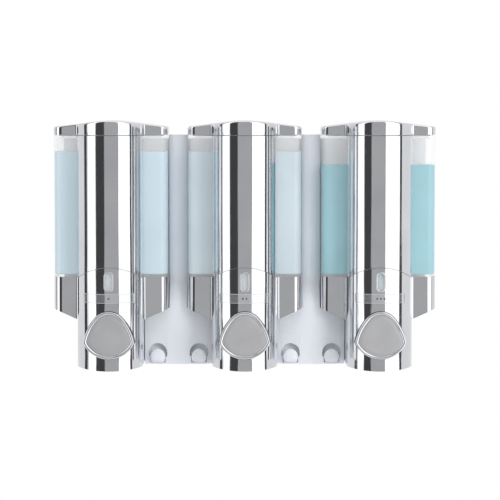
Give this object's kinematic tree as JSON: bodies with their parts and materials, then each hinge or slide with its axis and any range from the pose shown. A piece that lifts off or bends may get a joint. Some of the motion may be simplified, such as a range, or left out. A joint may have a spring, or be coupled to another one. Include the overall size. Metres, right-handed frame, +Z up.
{
  "type": "wall mounted soap dispenser",
  "caption": "Wall mounted soap dispenser with lift-off pump chambers side by side on one bracket, hinged chrome lids, translucent tanks and push buttons.",
  "frame": {"origin": "centre of the bracket's back face, on the wall", "axes": "+X to the dispenser's right as seen from the front, +Y into the wall, +Z up; the front faces -Y"},
  "size_m": [0.3104, 0.088, 0.2003],
  "materials": {
    "chrome": "polished",
    "button_satin": "satin",
    "tank": "satin",
    "white_plastic": "gloss",
    "clear": "gloss",
    "silicone": "matte",
    "seal_rubber": "matte",
    "steel": "satin",
    "foam_pad": "matte"
  },
  "bodies": {
    "bracket": {"bracket": "white_plastic", "hooks": "white_plastic", "tape_pads": "foam_pad"},
    "dispenser_left": {"container_left": "tank", "front_cover_left": "chrome", "lower_housing_left": "chrome", "window_bezel_left": "chrome", "window_lens_left": "clear", "label_left": "clear", "hinge_pin_left": "steel", "bellows_left": "silicone", "pump_body_left": "white_plastic", "inlet_valve_left": "silicone", "outlet_valve_left": "silicone", "nozzle_left": "white_plastic"},
    "lid_left": {"lid_left": "chrome", "lid_seal_left": "seal_rubber"},
    "button_left": {"button_left": "button_satin"},
    "dispenser_middle": {"container_middle": "tank", "front_cover_middle": "chrome", "lower_housing_middle": "chrome", "window_bezel_middle": "chrome", "window_lens_middle": "clear", "label_middle": "clear", "hinge_pin_middle": "steel", "bellows_middle": "silicone", "pump_body_middle": "white_plastic", "inlet_valve_middle": "silicone", "outlet_valve_middle": "silicone", "nozzle_middle": "white_plastic"},
    "lid_middle": {"lid_middle": "chrome", "lid_seal_middle": "seal_rubber"},
    "button_middle": {"button_middle": "button_satin"},
    "dispenser_right": {"container_right": "tank", "front_cover_right": "chrome", "lower_housing_right": "chrome", "window_bezel_right": "chrome", "window_lens_right": "clear", "label_right": "clear", "hinge_pin_right": "steel", "bellows_right": "silicone", "pump_body_right": "white_plastic", "inlet_valve_right": "silicone", "outlet_valve_right": "silicone", "nozzle_right": "white_plastic"},
    "lid_right": {"lid_right": "chrome", "lid_seal_right": "seal_rubber"},
    "button_right": {"button_right": "button_satin"}
  },
  "joints": [
    {"name": "lift_left", "type": "slide", "parent": "bracket", "child": "dispenser_left", "axis": [0, 0, 1], "range_m": [0, 0.012]},
    {"name": "lid_hinge_left", "type": "hinge", "parent": "dispenser_left", "child": "lid_left", "pos_m": [-0.1088, -0.013, 0.0965], "axis": [-1, 0, 0], "range_deg": [0, 90]},
    {"name": "button_press_left", "type": "slide", "parent": "dispenser_left", "child": "button_left", "axis": [0, 1, 0], "range_m": [0, 0.007], "stiffness_N_per_m": 300, "deforming": ["bellows_left"]},
    {"name": "lift_middle", "type": "slide", "parent": "bracket", "child": "dispenser_middle", "axis": [0, 0, 1], "range_m": [0, 0.012]},
    {"name": "lid_hinge_middle", "type": "hinge", "parent": "dispenser_middle", "child": "lid_middle", "pos_m": [0, -0.013, 0.0965], "axis": [-1, 0, 0], "range_deg": [0, 90]},
    {"name": "button_press_middle", "type": "slide", "parent": "dispenser_middle", "child": "button_middle", "axis": [0, 1, 0], "range_m": [0, 0.007], "stiffness_N_per_m": 300, "deforming": ["bellows_middle"]},
    {"name": "lift_right", "type": "slide", "parent": "bracket", "child": "dispenser_right", "axis": [0, 0, 1], "range_m": [0, 0.012]},
    {"name": "lid_hinge_right", "type": "hinge", "parent": "dispenser_right", "child": "lid_right", "pos_m": [0.1088, -0.013, 0.0965], "axis": [-1, 0, 0], "range_deg": [0, 90]},
    {"name": "button_press_right", "type": "slide", "parent": "dispenser_right", "child": "button_right", "axis": [0, 1, 0], "range_m": [0, 0.007], "stiffness_N_per_m": 300, "deforming": ["bellows_right"]}
  ]
}
